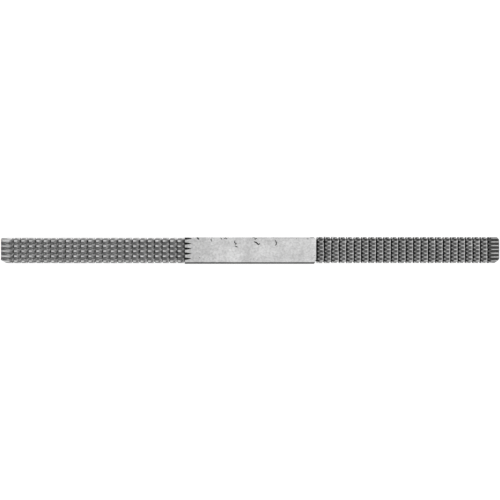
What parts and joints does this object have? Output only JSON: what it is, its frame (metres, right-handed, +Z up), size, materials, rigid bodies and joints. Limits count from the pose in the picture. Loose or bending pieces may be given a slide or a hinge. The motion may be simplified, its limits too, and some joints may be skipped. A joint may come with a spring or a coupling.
{
  "type": "thread restoring file",
  "caption": "Square bar file for restoring damaged threads: thread-form ridges cut into rows of teeth along both ends, with a plain grip between them.",
  "frame": {"origin": "centre of the bar in plan, on the bottom face of the grip, which the bar lies on", "axes": "+X along the bar towards the fine-pitch end, +Z up out of the grip's top face"},
  "size_m": [0.2096, 0.0112, 0.0112],
  "materials": {
    "coarse_teeth": "hardened tool steel, grey oxide in the grooves and worn bright on the crests",
    "grip_steel": "ground plain steel, satin, with small dark scale pits",
    "fine_teeth": "hardened tool steel, dark oxide in the gullets and grey on the crests"
  },
  "bodies": {
    "root": {"coarse_cutting_end": "coarse_teeth", "grip": "grip_steel", "fine_cutting_end": "fine_teeth"}
  },
  "joints": []
}
